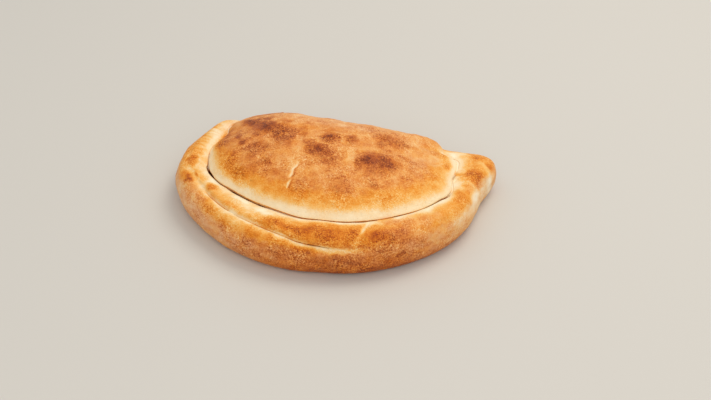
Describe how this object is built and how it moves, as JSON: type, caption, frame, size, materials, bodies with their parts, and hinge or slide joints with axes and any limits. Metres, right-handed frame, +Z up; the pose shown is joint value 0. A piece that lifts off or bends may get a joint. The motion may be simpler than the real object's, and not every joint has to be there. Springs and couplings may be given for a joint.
{
  "type": "calzone",
  "caption": "Baked calzone: a folded half-round of pizza dough with a domed browned top and a thick rolled edge, lying on its flat base.",
  "frame": {"origin": "under the middle of the outline's box, on the flat base that the calzone lies on", "axes": "+Z up, +X along the fold, +Y from the rolled front edge to the fold at the back"},
  "size_m": [0.2594, 0.1678, 0.0574],
  "materials": {
    "baked_dough": "matte baked crust, golden brown with darker blisters and a pale seam"
  },
  "bodies": {
    "root": {"calzone": "baked_dough"}
  },
  "joints": []
}
